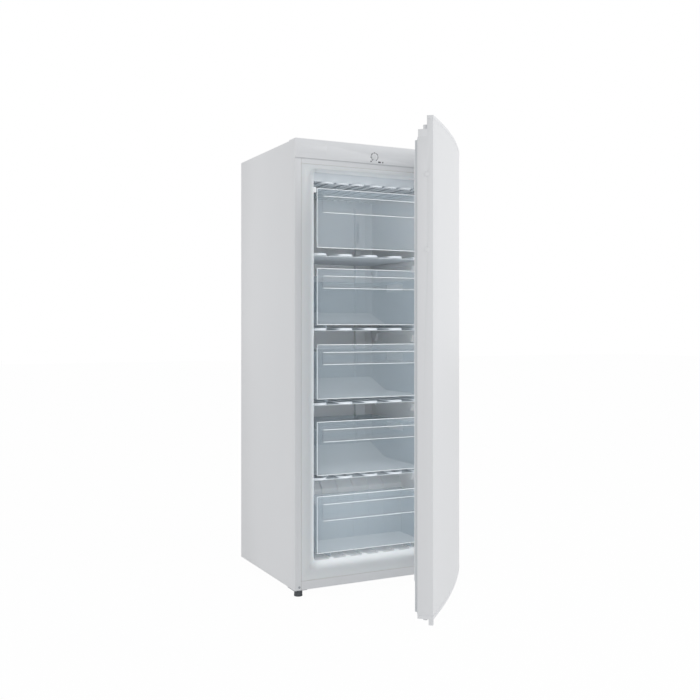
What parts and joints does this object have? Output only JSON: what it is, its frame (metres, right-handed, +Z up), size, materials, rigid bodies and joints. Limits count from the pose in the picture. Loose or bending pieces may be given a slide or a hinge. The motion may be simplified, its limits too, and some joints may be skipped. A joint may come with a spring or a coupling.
{
  "type": "upright freezer",
  "caption": "Upright freezer with a hinged bowed door standing open, clear-fronted pull-out drawers, a fast-freeze flap, tube evaporator shelves, levelling feet and a rear cooling unit.",
  "frame": {"origin": "on the floor, under the middle of the whole part's box with the door open", "axes": "+Z up, -Y towards the front, +X to the right seen from the front; the hinge is on the right"},
  "size_m": [0.6146, 1.0286, 1.5],
  "materials": {
    "white_enamel": "satin",
    "zinc_steel": "satin",
    "foam": "matte",
    "white_liner": "satin",
    "white_plastic": "satin",
    "grey_plastic": "matte",
    "gasket_rubber": "matte",
    "magnet_strip": "matte",
    "black_rubber": "matte",
    "evaporator_white": "satin",
    "copper": "satin",
    "black_enamel": "satin",
    "clear_plastic": "gloss",
    "tub_plastic": "satin"
  },
  "bodies": {
    "cabinet": {"side_panel_left": "white_enamel", "side_panel_right": "white_enamel", "top_panel": "white_enamel", "front_rail_top": "white_enamel", "front_rail_bottom": "white_enamel", "back_panel": "zinc_steel", "compressor_bay_liner": "zinc_steel", "base_plate": "zinc_steel", "compressor_base": "zinc_steel", "foot_bracket_left": "zinc_steel", "roller_brackets": "zinc_steel", "foot_inserts": "zinc_steel", "hinge_bracket_bottom": "zinc_steel", "hinge_bracket_top": "zinc_steel", "cabinet_screws": "zinc_steel", "insulation_foam": "foam", "inner_liner": "white_liner", "tube_chase": "white_liner", "flap_brackets": "white_liner", "fascia": "white_plastic", "badge_plate": "white_plastic", "thermostat": "grey_plastic", "relay_cover": "grey_plastic", "cord_gland": "grey_plastic", "compressor_mounts": "black_rubber", "shelf_1": "evaporator_white", "shelf_2": "evaporator_white", "shelf_3": "evaporator_white", "shelf_4": "evaporator_white", "evaporator_top": "evaporator_white", "riser_tubes": "copper", "refrigerant_lines": "copper", "filter_drier": "copper", "compressor": "black_enamel", "condenser": "black_enamel", "condenser_brackets": "grey_plastic"},
    "door": {"door_panel": "white_enamel", "door_foam": "foam", "door_liner": "white_liner", "door_gasket": "gasket_rubber", "gasket_magnet": "magnet_strip", "door_cap_top": "white_plastic", "door_cap_bottom": "white_plastic", "door_edge_plugs": "white_plastic", "door_hinge_bushes": "grey_plastic"},
    "flap": {"flap": "clear_plastic"},
    "knob": {"thermostat_knob": "white_plastic"},
    "left_foot": {"foot_left": "grey_plastic"},
    "right_foot": {"foot_right": "grey_plastic"},
    "left_roller": {"roller_left": "grey_plastic"},
    "right_roller": {"roller_right": "grey_plastic"},
    "bottom_drawer": {"drawer_bottom_tub": "tub_plastic", "drawer_bottom_front": "clear_plastic"},
    "lower_drawer": {"drawer_lower_tub": "tub_plastic", "drawer_lower_front": "clear_plastic"},
    "middle_drawer": {"drawer_middle_tub": "tub_plastic", "drawer_middle_front": "clear_plastic"},
    "upper_drawer": {"drawer_upper_tub": "tub_plastic", "drawer_upper_front": "clear_plastic"}
  },
  "joints": [
    {"name": "door_hinge", "type": "hinge", "parent": "cabinet", "child": "door", "pos_m": [0.2777, -0.053, 0.76], "axis": [0, 0, 1], "range_deg": [-49.4, 55.6]},
    {"name": "flap_tilt", "type": "hinge", "parent": "cabinet", "child": "flap", "pos_m": [-0.0073, 0.00599, 1.339], "axis": [-1, 0, 0], "range_deg": [0, 20]},
    {"name": "knob_turn", "type": "hinge", "parent": "cabinet", "child": "knob", "pos_m": [-0.0157, -0.03001, 1.4606], "axis": [0, -1, 0], "range_deg": [0, 270]},
    {"name": "bottom_drawer_slide", "type": "slide", "parent": "cabinet", "child": "bottom_drawer", "axis": [0, -1, 0], "range_m": [0, 0.065]},
    {"name": "lower_drawer_slide", "type": "slide", "parent": "cabinet", "child": "lower_drawer", "axis": [0, -1, 0], "range_m": [0, 0.065]},
    {"name": "middle_drawer_slide", "type": "slide", "parent": "cabinet", "child": "middle_drawer", "axis": [0, -1, 0], "range_m": [0, 0.065]},
    {"name": "upper_drawer_slide", "type": "slide", "parent": "cabinet", "child": "upper_drawer", "axis": [0, -1, 0], "range_m": [0, 0.065]},
    {"name": "left_foot_turn", "type": "hinge", "parent": "cabinet", "child": "left_foot", "pos_m": [-0.2853, -0.00001, 0.01], "axis": [0, 0, 1], "range_deg": [-180, 180]},
    {"name": "right_foot_turn", "type": "hinge", "parent": "cabinet", "child": "right_foot", "pos_m": [0.2707, -0.00001, 0.01], "axis": [0, 0, 1], "range_deg": [-180, 180]},
    {"name": "left_roller_spin", "type": "hinge", "parent": "cabinet", "child": "left_roller", "pos_m": [-0.25729, 0.45799, 0.01], "axis": [1, 0, 0], "continuous": true},
    {"name": "right_roller_spin", "type": "hinge", "parent": "cabinet", "child": "right_roller", "pos_m": [0.24271, 0.45799, 0.01], "axis": [1, 0, 0], "continuous": true}
  ]
}
